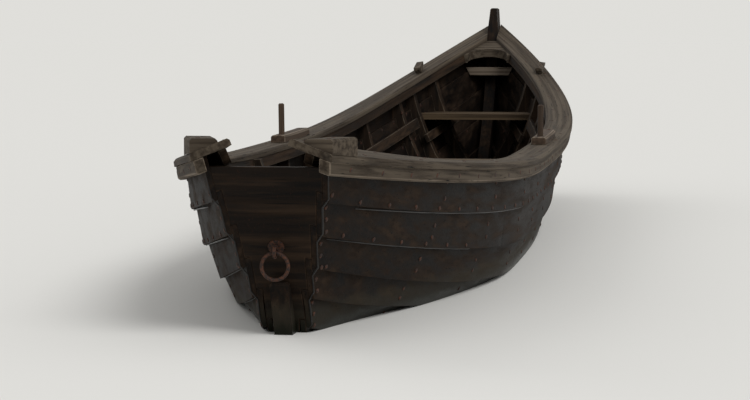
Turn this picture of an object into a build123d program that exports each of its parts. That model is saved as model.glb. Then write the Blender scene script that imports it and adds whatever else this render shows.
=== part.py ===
from build123d import *
from math import asin, atan, atan2, cos, hypot, radians, sin, tan
import os

# A planked wooden rowing and fishing boat of a river delta, about six metres long.
# The hull is clinker built: a keel with a flange, six strakes a side whose lands are
# planed to lie flat on each other, a curved stem, a small raked V transom, joggled
# timbers, rails, seats, knees, thole pins and a mooring ring.
# X runs forward, Y to port and Z up. Z = 0 is the waterline of the empty boat, and X = 0
# is the middle of its length.

os.makedirs("parts", exist_ok=True)

# Overall form, in millimetres
half_length = 3000.0          # from the middle to the top of the transom
bow_overhang = 1280.0         # from the fore end back to the foot of the stem's curve
widest_x = -1080.0            # where the hull is widest
lowest_x = -660.0             # where the sheer is lowest
bow_rise = 3.1                # how late the sheer and the laps rise to the bow
hull_margin = 60.0            # how far the hull's surfaces are drawn past its ends

# One row for each edge of the planking, from the keel's flange up to the sheer.
# beam_y and beam_z: half-breadth and height where the hull is widest
# stern_y and stern_z: the same on the transom
# stem_z: height where the edge meets the stem
# run: how full the edge is towards the stern, entry: towards the bow
# columns: beam_y, beam_z, stern_y, stern_z, stem_z, run, entry
edges = (
    (105.0, -92.0, 28.0, -45.0, -60.0, 2.0, 3.0),
    (250.0, -80.0, 38.0, 40.0, 74.0, 2.0, 2.7),
    (365.0, -45.0, 52.0, 128.0, 222.0, 2.0, 2.9),
    (436.0, 25.0, 74.0, 218.0, 368.0, 1.7, 3.2),
    (468.0, 132.0, 99.0, 312.0, 508.0, 1.83, 3.5),
    (487.0, 249.0, 126.0, 406.0, 640.0, 1.89, 3.9),
    (502.0, 365.0, 152.0, 500.0, 762.0, 1.89, 4.2),
)

# Planking
plank = 15.0                  # thickness of a strake
land = 22.0                   # width of the planed overlap between two strakes
land_depth = 0.7              # share of a plank's thickness that a land is planed to
seam = 0.4                    # clearance between pieces that are fitted together
scarf_length = 105.0          # along the hull, where two planks of a strake meet

# Backbone
siding = 50.0                 # thickness of keel, stem and sternpost
flange = 26.0                 # thickness of the keel's flange
keel_depth = 48.0             # depth of the keel below its flange
stem_radius = 1320.0          # outer curve of the stem
stem_moulding = 130.0         # depth of the stem, front to back
stem_chamfer = 9.0            # off each corner of the stem's outer curve
rabbet_inset = 60.0           # from the stem's outer curve to the planks' inner faces
stem_head_z = 889.0           # top of the stem head
stem_head_siding = 30.0       # its thickness there
stem_head_taper = 105.0       # height over which it thins

# Transom and sternpost
transom_rake = 33.0           # degrees from upright
transom_thickness = 28.0
transom_top_z = 470.0
sternpost_top_z = 150.0
sternpost_depth = 62.0        # at its foot, aft of the transom
sternpost_head_depth = 34.0

# Timbers
timber_siding = 30.0          # along the hull
timber_moulding = 36.0        # into the hull
frame_pitch = 510.0
first_frame_setback = 800.0   # from the transom's top
floor_throat = 58.0           # depth of a floor timber over the keel
cant_frame_gaps = (190.0, 450.0)      # side timbers alone, forward of the last floor

# Rails
rub_width = 28.0
rub_depth = 40.0
inwale_width = 22.0
inwale_depth = 40.0
cap_thickness = 20.0
cap_overhang = 5.0
rail_ease = 6.0               # off the rails' long corners
rail_overhang = 45.0          # how far the rails pass the transom
riser_width = 18.0
riser_setback = 440.0         # from the transom's top
riser_reach = 80.0            # past the last floor
riser_low, riser_high = 0.34, 0.72            # share of the fifth strake's height
bow_riser_low, bow_riser_high = 0.62, 0.96    # share of the fourth strake's height

# Seats
seat_thickness = 28.0
seat_ease = 5.0               # rounding of a seat's long upper edges
seat_clearance = 2.5          # between a seat's ends and the planks
thwart_width = 230.0
thwart_bays = (2, 5)          # each thwart stands in the middle of such a bay between frames
stern_seat_setback = 580.0    # from the transom's top to the seat's middle
stern_seat_width = 290.0
bow_seat_setback = 660.0      # from the stem's inner face at the sheer to the seat's middle
bow_seat_width = 216.0
bow_riser_half = 180.0        # half the length of what the bow seat rests on
shelf_width = 71.0            # of the small shelf behind the stem, along the hull
shelf_z = 564.0               # its underside
shelf_thickness = 38.0

# Knees
knee_arm = 130.0              # along a thwart
knee_top = 26.0               # thickness at the top
knee_toe = 20.0               # thickness at the end of the arm
knee_clearance = 1.0
quarter_knee_reach = 230.0    # forward of the transom's top
quarter_knee_depth = 28.0
quarter_knee_root = 0.6       # share of the half-breadth that it covers at the transom
breasthook_setbacks = (264.0, 154.0, 44.0)    # its sections, from the stem's inner face
breasthook_throat = 95.0      # radius of its hollow after edge

# Bottom boards
board_width = 150.0
board_gap = 14.0
board_thickness = 16.0
board_overhang = 50.0         # past the second and the last floor but one

# Rowing fittings
thole_gap = 735.0             # forward of the after thwart's middle
thole_pad_width = 54.0
thole_pad_thickness = 28.0
thole_pad_aft = 75.0          # from the pin to the pad's after end
thole_pad_fore = 425.0        # from the pin to its fore end
thole_radius = 11.0
thole_tail_radius = 9.0       # below its shoulder, in the pad and the cap rail
thole_clearance = 0.3
thole_rise = 115.0            # above its shoulder
thole_bed = 3.0               # left of the cap rail under the pin's foot
thole_chamfer = 4.0

# Blocks at the after ends of the rails, and cleats near their fore ends
block_length = 130.0
block_inner, block_outer = -34.0, 46.0    # across the rail, from the planks' inner corner
block_crown = 9.0             # above the highest corner of the cap rail under it
block_ease = 6.0
cleat_setback = 614.0         # from the stem's inner face at the sheer
cleat_length = 150.0
cleat_foot = 70.0
cleat_height = 34.0
cleat_width = 30.0
cleat_neck = 0.55             # share of its height where its horns start
cleat_ease = 3.0              # rounding of its corners

# Mooring ring
ring_radius = 36.0
ring_wire = 5.0
ring_z = 250.0
bolt_plate_radius = 22.0
bolt_plate_thickness = 4.0
bolt_radius = 7.0
bolt_neck = 11.0
eye_radius = 14.0
eye_wire = 5.0
ring_clearance = 0.6

half_siding = siding / 2
past_middle = -150.0          # where the port half of the flange starts before it is cut
rake_cos = cos(radians(transom_rake))
crowding = radians(70)        # how far stations crowd towards the ends
transom_slope = tan(radians(transom_rake))
transom_top_x = -half_length
sheer_stern_z = edges[-1][3]
top_strake = len(edges) - 1
stem_foot_x = half_length - bow_overhang
stem_centre_z = edges[0][1] - flange - keel_depth + stem_radius
rabbet_radius = stem_radius - rabbet_inset
inner_radius = stem_radius - stem_moulding


def transom_x(height):
    """X of the transom's outer face at a height."""
    return transom_top_x + (sheer_stern_z - height) * transom_slope


def stem_x(height, radius):
    """X on the stem's curve at a height."""
    return stem_foot_x + (radius**2 - (stem_centre_z - height) ** 2) ** 0.5


def edge_point(index, x):
    """Half-breadth and height of the inner corner of a plank edge at a station."""
    beam_y, beam_z, stern_y, stern_z, stem_z, run, entry = edges[index]
    if x < widest_x:
        reach = (widest_x - x) / (widest_x - transom_x(stern_z))
        y = beam_y - (beam_y - stern_y) * reach**run
    else:
        reach = (x - widest_x) / (stem_x(stem_z, rabbet_radius) - widest_x)
        y = beam_y - (beam_y - half_siding) * reach**entry
    if x < lowest_x:
        rise = (lowest_x - x) / (lowest_x - transom_x(stern_z))
        z = beam_z + (stern_z - beam_z) * rise**2
    else:
        rise = (x - lowest_x) / (stem_x(stem_z, rabbet_radius) - lowest_x)
        z = beam_z + (stem_z - beam_z) * rise**bow_rise
    return y, z


def along(point, direction, distance):
    """The point at a distance in a direction, in the section of a station."""
    return point[0] + direction[0] * distance, point[1] + direction[1] * distance


def heading(start, end):
    """Unit direction from start to end, and the unit direction out of the hull."""
    run = hypot(end[0] - start[0], end[1] - start[1])
    forward = ((end[0] - start[0]) / run, (end[1] - start[1]) / run)
    return forward, (forward[1], -forward[0])


def planking(x):
    """Corners of the keel flange and of the six strakes on the port side at a station.

    Each row holds the plank's direction, its outward direction, and its corners:
    lower inner, upper inner, top of the land, foot of the land and lower outer.
    """
    tops = [edge_point(index, x) for index in range(len(edges))]
    rows = []
    start = (past_middle, tops[0][1])
    thickness = flange
    for index, top in enumerate(tops):
        forward, outward = heading(start, top)
        if index < top_strake:
            above = tops[index + 1]
            turn = atan2(above[1] - top[1], above[0] - top[0]) - atan2(forward[1], forward[0])
            planed = land_depth * thickness
            reach = land * planed / hypot(planed * cos(turn), land * sin(turn))
            foot = along(along(top, outward, thickness), forward, -reach * cos(turn))
            next_start = along(foot, outward, seam)
            onward, _ = heading(next_start, above)
            land_top = along(foot, onward, reach)
        else:
            foot = along(top, outward, thickness)
            land_top = foot
            next_start = foot
        rows.append((forward, outward, (start, top, land_top, foot, along(start, outward, thickness))))
        start = next_start
        thickness = plank
    return rows


def inside_y(x, height):
    """Half-breadth of the planks' inner faces at a station and height."""
    for _, _, corners in planking(x)[1:]:
        low, high = corners[0], corners[1]
        if height <= high[1]:
            share = (height - low[1]) / (high[1] - low[1])
            return low[0] + (high[0] - low[0]) * share
    return high[0]


def station_plane(x):
    """The plane across the hull at a station, its own X to port."""
    return Plane(origin=(x, 0, 0), x_dir=(0, 1, 0), z_dir=(1, 0, 0))


def loft_through(stations, outline, ruled=False, mode=Mode.ADD):
    """Loft the outlines that a function gives at each station, inside a part block."""
    sections = []
    for x in stations:
        with BuildSketch(station_plane(x)) as section:
            with BuildLine():
                Polyline(*outline(x), close=True)
            make_face()
        sections.append(section.sketch.face())
    loft(sections, ruled=ruled, mode=mode)


def stations_between(start, end, count):
    """Stations that crowd towards both ends of the hull."""
    reach = half_length + hull_margin
    first, last = asin(start / reach * sin(crowding)), asin(end / reach * sin(crowding))
    turns = [first + (last - first) * step / (count - 1) for step in range(count)]
    return [reach * sin(turn) / sin(crowding) for turn in turns]


hull_stations = stations_between(-half_length - hull_margin, half_length + hull_margin, 21)
keel_end_x = stem_x(edges[0][4], rabbet_radius)
heel_x = keel_end_x + seam
first_frame_x = transom_top_x + first_frame_setback
frame_count = int((keel_end_x - first_frame_x) / frame_pitch) + 1
frame_xs = [first_frame_x + frame_pitch * number for number in range(frame_count)]
cant_frame_xs = [frame_xs[-1] + gap for gap in cant_frame_gaps]
thwart_xs = [first_frame_x + frame_pitch * (bay + 0.5) for bay in thwart_bays]
thole_x = thwart_xs[0] + thole_gap
bow_inside_x = stem_x(edges[-1][4], inner_radius)


def write_node(name, part):
    """Write one node to its own file."""
    part.label = name
    export_step(part, f"parts/{name}.step")


def write_pair(name, part):
    """Write a port piece and its mirror image to starboard."""
    write_node(name + "_port", part)
    write_node(name + "_starboard", mirror(part, about=Plane.XZ, mode=Mode.PRIVATE))


def scarf_cut(point, run, across, depth, width):
    """Part a plank in two with a thin slanted cut through its depth.

    run is the plank's direction along the hull and across the direction in the cut that
    stays square to it. Cuts at 1 in 7 or so leave the long overlap of a scarf joint.
    """
    run = run.normalized()
    through = run.cross(across).normalized()
    slope = atan(depth / scarf_length)
    slanted = run * cos(slope) + through * sin(slope)
    cut_length = 1.5 * hypot(depth, scarf_length)
    with Locations(Plane(origin=point, x_dir=slanted, z_dir=slanted.cross(across))):
        Box(cut_length, 2 * width, seam, mode=Mode.SUBTRACT)


def at_station(x, point):
    """A point of a station's section, as a vector."""
    return Vector(x, point[0], point[1])


side_plane = Plane(origin=(0, half_siding + seam, 0), z_dir=(0, 1, 0))
transom_plane = Plane(origin=(transom_top_x, 0, sheer_stern_z), z_dir=(1, 0, transom_slope))


def strake_middle(x, index):
    """The middle of a strake's thickness and breadth at a station."""
    _, outward, corners = planking(x)[index]
    low, high = corners[0], corners[1]
    middle = ((low[0] + high[0]) / 2, (low[1] + high[1]) / 2)
    return at_station(x, along(middle, outward, plank / 2))


# Strakes, each of three planks. scarf_bays: the bays between frames where they meet
scarf_bays = {1: (1, 5), 2: (2, 6), 3: (1, 4), 4: (2, 5), 5: (1, 6), 6: (2, 4)}
tangent_step = 20.0
for index in range(1, len(edges)):
    bow_x = stem_x(edges[index][4], rabbet_radius) + hull_margin
    needed = sum(1 for x in hull_stations if x < bow_x) + 2
    with BuildPart() as strake:
        loft_through(
            hull_stations[:needed],
            lambda x: planking(x)[index][2] if index < top_strake
            else [planking(x)[index][2][corner] for corner in (0, 1, 3, 4)],
        )
        split(bisect_by=side_plane, keep=Keep.TOP)
        split(bisect_by=transom_plane, keep=Keep.TOP)
        for bay in scarf_bays[index]:
            x = first_frame_x + frame_pitch * (bay + 0.5)
            forward = planking(x)[index][0]
            before, after = strake_middle(x - tangent_step, index), strake_middle(x + tangent_step, index)
            scarf_cut(
                strake_middle(x, index), after - before, Vector(0, *forward), plank, frame_pitch / 2
            )
    write_pair(f"strake_{index}", strake.part)


def offset_sides(points):
    """Close an outline with its mirror image across the middle of the hull."""
    return points + [(-y, z) for y, z in reversed(points)]


def timber_line(x):
    """The inner face of the timbers at a station, one point for each plank edge."""
    rows = planking(x)
    line = []
    for index, (_, outward, corners) in enumerate(rows):
        above = rows[index + 1][1] if index + 1 < len(rows) else outward
        middle = (outward[0] + above[0], outward[1] + above[1])
        spread = hypot(*middle)
        reach = timber_moulding / (spread / 2)
        line.append(along(corners[1], (middle[0] / spread, middle[1] / spread), -reach))
    return line


def joggled(x, first, last):
    """The outer face of a timber, stepped to fit from one strake to another.

    It starts on the upper edge below the first strake, and ends at the last one's top.
    """
    rows = planking(x)
    points = []
    for index in range(first, last + 1):
        forward, outward, corners = rows[index - 1]
        points.append(along(along(corners[1], outward, -seam), forward, 2 * seam))
        points.append(along(corners[2], rows[index][0], 2 * seam))
    forward, outward, corners = rows[last]
    points.append(along(along(corners[1], outward, -seam), forward, -seam))
    return points


def between(low, high, share):
    """The point at a share of the way from one point to another."""
    return low[0] + (high[0] - low[0]) * share, low[1] + (high[1] - low[1]) * share


def floor_outline(x):
    """A floor timber that sits on the keel and the three lowest strakes."""
    inner = timber_line(x)
    half = joggled(x, 1, 3) + [inner[3], inner[2], inner[1]]
    throat = (0.0, edge_point(0, x)[1] + floor_throat)
    return half + [throat] + [(-y, z) for y, z in reversed(half)]


def side_outline(x, first):
    """A side timber from a strake up to the sheer."""
    inner = timber_line(x)[first - 1 :]
    return joggled(x, first, top_strake) + list(reversed(inner))


def batten_outline(x, index, low, high, width):
    """A batten on the timbers, from one share of a strake's height to another."""
    line = timber_line(x)
    _, outward = heading(line[index - 1], line[index])
    foot = along(between(line[index - 1], line[index], low), outward, -seam)
    head = along(between(line[index - 1], line[index], high), outward, -seam)
    return [foot, head, along(head, outward, -width), along(foot, outward, -width)]


def inwale_outline(x):
    """The rail inside the timbers: lower outer, upper outer, upper inner and lower inner corner."""
    line = timber_line(x)
    outward = planking(x)[-1][1]
    down, _ = heading(line[-1], line[-2])
    crown = along(line[-1], outward, -seam)
    inner_crown = along(crown, outward, -inwale_width)
    return [along(crown, down, inwale_depth), crown, inner_crown, along(inner_crown, down, inwale_depth)]


def rail_outline(x, inward, outward_reach, low, high):
    """A rail's section beside the sheer strake's upper corner, along its own slope."""
    forward, outward, corners = planking(x)[-1]
    base = along(corners[1], forward, low)
    crown = along(corners[1], forward, high)
    return [
        along(base, outward, inward),
        along(base, outward, outward_reach),
        along(crown, outward, outward_reach),
        along(crown, outward, inward),
    ]


def eased(points, corners, size):
    """Cut some corners of an outline back by a size."""
    result = []
    for number, point in enumerate(points):
        if number not in corners:
            result.append(point)
            continue
        for neighbour in (points[number - 1], points[(number + 1) % len(points)]):
            direction, _ = heading(point, neighbour)
            result.append(along(point, direction, size))
    return result


def on_transom(pick, setback):
    """Where a line along the hull meets a plane a little forward of the transom's face."""
    height = transom_top_z
    for _ in range(40):
        y, height = pick(transom_x(height) + setback)
    return y, height


# Keel
fin_stations = [x for x in hull_stations if transom_top_x < x < keel_end_x + 300]
flange_stations = [x for x in hull_stations if x < keel_end_x + 600]


def flange_outline(x, grow=0.0):
    """The port half of the keel's flange, from well past the middle of the hull."""
    _, _, (_, top, land_top, foot, _) = planking(x)[0]
    return [
        (past_middle, top[1] + grow),
        (top[0], top[1] + grow),
        land_top,
        (foot[0], foot[1] - grow),
        (past_middle, foot[1] - grow),
    ]


def fin_outline(x):
    """The keel below its flange, reaching halfway up into it."""
    top = edge_point(0, x)[1] - flange / 2
    bottom = edge_point(0, x)[1] - flange - keel_depth
    return [(-half_siding, bottom), (half_siding, bottom), (half_siding, top), (-half_siding, top)]


with BuildPart() as fin:
    loft_through(fin_stations, fin_outline)
    split(bisect_by=station_plane(stem_foot_x), keep=Keep.BOTTOM)

with BuildPart() as flange_half:
    loft_through(flange_stations, flange_outline)
    split(bisect_by=Plane(origin=(0, 0, 0), z_dir=(0, 1, 0)), keep=Keep.TOP)
    split(bisect_by=station_plane(keel_end_x), keep=Keep.BOTTOM)

with BuildPart() as keel:
    add(flange_half.part)
    mirror(about=Plane.XZ)
    add(fin.part)
    split(bisect_by=transom_plane.offset(seam), keep=Keep.TOP)
write_node("keel", keel.part)

# Stem, notched over the end of the keel's flange
with BuildPart() as flange_pocket:
    loft_through(flange_stations, lambda x: flange_outline(x, seam))
    split(bisect_by=station_plane(heel_x), keep=Keep.BOTTOM)


def on_stem(radius, share):
    """A point on a curve of the stem, at a share of the turn from its foot to its head."""
    turn = share * asin((stem_x(stem_head_z, radius) - stem_foot_x) / radius)
    return stem_foot_x + radius * sin(turn), stem_centre_z - radius * cos(turn)


head_slope = (half_siding - stem_head_siding / 2) / stem_head_taper
head_plane = Plane(origin=(0, half_siding, stem_head_z - stem_head_taper), z_dir=(0, 1, head_slope))
with BuildPart() as stem:
    with BuildSketch(Plane.XZ):
        with BuildLine():
            outer_low = (stem_foot_x + seam, stem_centre_z - stem_radius)
            outer_high = (stem_x(stem_head_z, stem_radius), stem_head_z)
            inner_high = (stem_x(stem_head_z, inner_radius), stem_head_z)
            inner_low = (heel_x, stem_centre_z - (inner_radius**2 - (heel_x - stem_foot_x) ** 2) ** 0.5)
            lap_z = edge_point(0, stem_foot_x)[1] - flange / 2
            ThreePointArc(outer_low, on_stem(stem_radius, 0.5), outer_high)
            Polyline(outer_high, inner_high)
            ThreePointArc(inner_high, on_stem(inner_radius, 0.7), inner_low)
            Polyline(inner_low, (heel_x, lap_z), (stem_foot_x + seam, lap_z), outer_low)
        make_face()
    extrude(amount=half_siding, both=True)
    outer_curve = [
        edge for edge in stem.edges().filter_by(GeomType.CIRCLE) if abs(edge.radius - stem_radius) < 1
    ]
    chamfer(outer_curve, stem_chamfer)
    add(flange_pocket.part, mode=Mode.SUBTRACT)
    mirror(flange_pocket.part, about=Plane.XZ, mode=Mode.SUBTRACT)
    split(bisect_by=head_plane, keep=Keep.BOTTOM)
    split(bisect_by=Plane(origin=(0, -half_siding, head_plane.origin.Z), z_dir=(0, -1, head_slope)),
          keep=Keep.BOTTOM)
    chamfer(stem.edges().group_by(Axis.Z)[-1], stem_head_siding / 5)
write_node("stem", stem.part)


def transom_outline(setback):
    """The transom between the planks, as half-breadths and heights, on a raked plane."""
    half = []
    for corner in [0] + list(range(2, 2 * top_strake)):
        y, z = on_transom(lambda x: joggled(x, 1, top_strake)[corner], setback)
        half.append((y - seam, z + seam if corner == 0 else z))
    half = [point for point in half if point[1] < transom_top_z]
    half.append((inside_y(transom_x(transom_top_z) + setback, transom_top_z) - 2 * seam, transom_top_z))
    return offset_sides(half)


with BuildPart() as transom:
    sections = []
    for setback in (0.0, transom_thickness / rake_cos):
        face_plane = Plane(
            origin=(transom_top_x + setback, 0, sheer_stern_z),
            x_dir=(0, 1, 0),
            z_dir=(1, 0, transom_slope),
        )
        with BuildSketch(face_plane) as section:
            with BuildLine():
                points = [(y, (z - sheer_stern_z) / rake_cos) for y, z in transom_outline(setback)]
                Polyline(*points, close=True)
            make_face()
        sections.append(section.sketch.face())
    loft(sections, ruled=True)
write_node("transom", transom.part)

with BuildPart() as sternpost:
    with BuildSketch(Plane.XZ):
        with BuildLine():
            foot_z = edge_point(0, transom_x(edges[0][1]))[1] - flange - keel_depth
            gap = seam / rake_cos
            Polyline(
                (transom_x(foot_z) - gap, foot_z),
                (transom_x(sternpost_top_z) - gap, sternpost_top_z),
                (transom_x(sternpost_top_z) - gap - sternpost_head_depth / rake_cos, sternpost_top_z),
                (transom_x(foot_z) - gap - sternpost_depth / rake_cos, foot_z),
                close=True,
            )
        make_face()
    extrude(amount=half_siding, both=True)
    chamfer(sternpost.edges().group_by(Axis.Z)[-1], sternpost_head_depth / 5)
write_node("sternpost", sternpost.part)

# Floors and side timbers
with BuildPart() as floors:
    for x in frame_xs:
        loft_through((x, x + timber_siding), floor_outline, ruled=True)
write_node("floor_timbers", floors.part)

with BuildPart() as sides:
    for x in frame_xs:
        loft_through(
            (x - timber_siding - seam, x - seam), lambda at: side_outline(at, 2), ruled=True
        )
    for x in cant_frame_xs:
        loft_through((x - timber_siding, x), lambda at: side_outline(at, 3), ruled=True)
write_pair("side_timbers", sides.part)

# Where the thole pins stand
pin_offset = -timber_moulding / 2
forward, _, _ = planking(thole_x)[-1]
cap_top = seam + cap_thickness
pad_top = cap_top + seam + thole_pad_thickness
foot_height = seam + thole_bed
thole_drop = pad_top - foot_height
pin_foot = rail_outline(thole_x, pin_offset, pin_offset, foot_height, pad_top)[0]
pin_plane = Plane(
    origin=(thole_x, pin_foot[0], pin_foot[1]), x_dir=(1, 0, 0), z_dir=(0, forward[0], forward[1])
)

# Rails along the sheer, each of two lengths
rail_end = Plane(
    origin=(transom_top_x - rail_overhang, 0, sheer_stern_z), z_dir=(1, 0, transom_slope)
)
outer_face = plank + seam
inner_face = -timber_moulding - seam
cap_inner = inner_face - inwale_width - cap_overhang
cap_outer = outer_face + rub_width + cap_overhang
# columns: name, inner and outer side, lower and upper side, corners that are eased, scarf's bay
rails = (
    ("rub_rail", outer_face, outer_face + rub_width, -rub_depth, 0.0, (1,), 3),
    ("cap_rail", cap_inner, cap_outer, seam, cap_top, (2, 3), 5),
)
for name, inward, reach, low, high, corners, bay in rails:
    with BuildPart() as rail:
        loft_through(
            hull_stations, lambda x: eased(rail_outline(x, inward, reach, low, high), corners, rail_ease)
        )
        split(bisect_by=side_plane, keep=Keep.TOP)
        split(bisect_by=rail_end, keep=Keep.TOP)
        x = first_frame_x + frame_pitch * (bay + 0.5)
        ends = []
        for at in (x - tangent_step, x, x + tangent_step):
            outline = rail_outline(at, inward, reach, low, high)
            ends.append(at_station(at, between(outline[0], outline[2], 0.5)))
        outward = planking(x)[-1][1]
        scarf_cut(ends[1], ends[2] - ends[0], Vector(0, *outward), high - low, reach - inward)
        if name == "cap_rail":
            with BuildSketch(pin_plane.offset(-thole_clearance)):
                Circle(thole_tail_radius + thole_clearance)
            extrude(amount=thole_drop, mode=Mode.SUBTRACT)
    write_pair(name, rail.part)

with BuildPart() as inwale:
    loft_through(hull_stations, inwale_outline)
    split(bisect_by=side_plane, keep=Keep.TOP)
    split(bisect_by=transom_plane.offset(transom_thickness + seam), keep=Keep.TOP)
write_pair("inwale", inwale.part)

# Risers, which carry the seats
bow_seat_x = bow_inside_x - bow_seat_setback
# columns: name, strake it lies against, lower and upper share of its height, ends
risers = (
    ("riser", 5, riser_low, riser_high, transom_top_x + riser_setback, frame_xs[-1] + riser_reach),
    ("bow_riser", 4, bow_riser_low, bow_riser_high, bow_seat_x - bow_riser_half, bow_seat_x + bow_riser_half),
)
for name, index, low, high, after_end, fore_end in risers:
    with BuildPart() as riser:
        loft_through(
            [x for x in hull_stations if after_end - frame_pitch < x < fore_end + frame_pitch],
            lambda x: batten_outline(x, index, low, high, riser_width),
        )
        split(bisect_by=station_plane(after_end), keep=Keep.TOP)
        split(bisect_by=station_plane(fore_end), keep=Keep.BOTTOM)
    write_pair(name, riser.part)


def seat_outline(x, bottom, thickness):
    """A seat plank between the strakes, its ends cut to their slope."""
    low_y, high_y = inside_y(x, bottom), inside_y(x, bottom + thickness)
    inset = seat_clearance
    for _, _, corners in planking(x)[1:]:
        y, z = corners[1]
        if bottom - plank < z < bottom + thickness + plank:
            slope_y = low_y + (high_y - low_y) * (z - bottom) / thickness
            inset = max(inset, slope_y - y + seat_clearance)
    return offset_sides([(low_y - inset, bottom), (high_y - inset, bottom + thickness)])


def seat_bottom(seat_xs, riser):
    """The height at which a seat rests on its risers."""
    _, index, low, high, _, _ = riser
    outlines = [batten_outline(x, index, low, high, riser_width) for x in seat_xs]
    return seam + max(outline[corner][1] for outline in outlines for corner in (1, 2))


# Seats on the risers
# columns: name, middle x, width along the hull, riser
seats = (
    ("thwart_aft", thwart_xs[0], thwart_width, risers[0]),
    ("thwart_middle", thwart_xs[1], thwart_width, risers[0]),
    ("seat_stern", transom_top_x + stern_seat_setback, stern_seat_width, risers[0]),
    ("seat_bow", bow_seat_x, bow_seat_width, risers[1]),
)
seat_tops = {}
for name, middle_x, width, riser in seats:
    seat_xs = (middle_x - width / 2, middle_x, middle_x + width / 2)
    bottom = seat_bottom(seat_xs, riser)
    with BuildPart() as seat:
        loft_through(seat_xs, lambda x: seat_outline(x, bottom, seat_thickness), ruled=True)
        long_edges = [
            edge for edge in seat.edges().filter_by(Axis.Y)
            if abs(edge.center().Z - bottom - seat_thickness) < 1
            and abs(abs(edge.center().X - middle_x) - width / 2) < 1
        ]
        fillet(long_edges, seat_ease)
    write_node(name, seat.part)
    seat_tops[name] = bottom + seat_thickness

with BuildPart() as bow_shelf:
    shelf_end = stem_x(shelf_z, inner_radius) - seam
    shelf_start = shelf_end - shelf_width
    loft_through(
        (shelf_start, (shelf_start + shelf_end) / 2, shelf_end),
        lambda x: seat_outline(x, shelf_z, shelf_thickness),
        ruled=True,
    )
write_node("bow_shelf", bow_shelf.part)

# Knees: the breasthook in the bow, one at each quarter, one at each end of the widest thwart


def inwale_inner(x):
    """The inner face of the inwale at a station: upper and lower corner, less clearance."""
    _, _, upper, lower = inwale_outline(x)
    return (upper[0] - knee_clearance, upper[1]), (lower[0] - knee_clearance, lower[1])


with BuildPart() as breasthook:
    loft_through(
        [bow_inside_x - setback for setback in breasthook_setbacks],
        lambda x: offset_sides(list(reversed(inwale_inner(x)))),
        ruled=True,
    )
    throat_x = bow_inside_x - breasthook_setbacks[0]
    with Locations((throat_x, 0, inwale_outline(throat_x)[2][1])):
        Cylinder(breasthook_throat, 4 * inwale_depth, mode=Mode.SUBTRACT)
write_node("breasthook", breasthook.part)


def quarter_knee_outline(x):
    """Under the inwale and against the planks, thinning forward from the transom."""
    lower_outer, _, _, lower_inner = inwale_outline(x)
    top = min(lower_outer[1], lower_inner[1]) - knee_clearance
    bottom = top - quarter_knee_depth
    share = (x - transom_top_x) / quarter_knee_reach
    arm = knee_toe + (inside_y(x, top) * quarter_knee_root - knee_toe) * (1 - share) ** 3
    outer_top = inside_y(x, top) - knee_clearance
    outer_bottom = inside_y(x, bottom) - knee_clearance
    return [(outer_bottom, bottom), (outer_top, top), (outer_top - arm, top), (outer_top - arm, bottom)]


with BuildPart() as quarter_knee:
    shares = (-0.25, 0.15, 0.55, 1.0)
    loft_through(
        [transom_top_x + quarter_knee_reach * share for share in shares], quarter_knee_outline, ruled=True
    )
    split(bisect_by=transom_plane.offset(transom_thickness + seam), keep=Keep.TOP)
write_pair("quarter_knee", quarter_knee.part)

with BuildPart() as thwart_knee:
    upper, lower = inwale_inner(thwart_xs[0])
    upper = (upper[0], upper[1] - knee_clearance)
    foot_z = seat_tops["thwart_aft"] + seam
    slope = (upper[0] - lower[0]) / (upper[1] - lower[1])
    foot_y = lower[0] + (foot_z - lower[1]) * slope
    toe = (foot_y - knee_arm, foot_z + knee_toe)
    crown = (upper[0] - knee_top, upper[1])
    hollow = between(toe, crown, 0.5)
    hollow = (hollow[0] + knee_toe, hollow[1] - knee_toe)
    with BuildSketch(station_plane(thwart_xs[0])):
        with BuildLine():
            Polyline(crown, upper, (foot_y, foot_z), (toe[0], foot_z), toe)
            ThreePointArc(toe, hollow, crown)
        make_face()
    extrude(amount=timber_siding / 2, both=True)
write_pair("thwart_knee", thwart_knee.part)


def floor_top(x, y):
    """Height of the floor timbers' upper face."""
    line = [(0.0, edge_point(0, x)[1] + floor_throat)] + timber_line(x)[1:4]
    for low, high in zip(line, line[1:]):
        if y <= high[0]:
            break
    return low[1] + (high[1] - low[1]) * (y - low[0]) / (high[0] - low[0])


def board_outline(x, middle_y):
    """A bottom board on the floors, its edges no lower than the crown that it crosses."""
    low = []
    for y in (middle_y - board_width / 2, middle_y + board_width / 2):
        z = floor_top(x, abs(y))
        if middle_y == 0:
            z = max(z, floor_top(x, 0))
        low.append((y, z + 2 * seam))
    return low + [(y, z + board_thickness) for y, z in reversed(low)]


# Bottom boards
board_stations = stations_between(
    frame_xs[1] - board_overhang, frame_xs[-2] + timber_siding + board_overhang, 7
)
with BuildPart() as middle_board:
    loft_through(board_stations, lambda x: board_outline(x, 0.0))
write_node("bottom_board_middle", middle_board.part)
with BuildPart() as side_board:
    loft_through(board_stations, lambda x: board_outline(x, board_width + board_gap))
write_pair("bottom_board", side_board.part)

# Thole pads and pins
with BuildPart() as pad:
    loft_through(
        (thole_x - thole_pad_aft, thole_x, thole_x + thole_pad_fore / 2, thole_x + thole_pad_fore),
        lambda x: eased(
            rail_outline(
                x, pin_offset - thole_pad_width / 2, pin_offset + thole_pad_width / 2,
                cap_top + seam, pad_top,
            ),
            (2, 3), rail_ease,
        ),
    )
    with BuildSketch(pin_plane):
        Circle(thole_tail_radius + thole_clearance)
    extrude(amount=thole_drop * 2, mode=Mode.SUBTRACT)
write_pair("thole_pad", pad.part)

shoulder = thole_drop + seam
with BuildPart() as pin:
    with BuildSketch(pin_plane):
        Circle(thole_tail_radius)
    extrude(amount=shoulder + seam)
    with BuildSketch(pin_plane.offset(shoulder)):
        Circle(thole_radius)
    extrude(amount=thole_rise)
    chamfer(pin.edges().sort_by(Axis.Z)[-1], thole_chamfer)
write_pair("thole_pin", pin.part)


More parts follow.
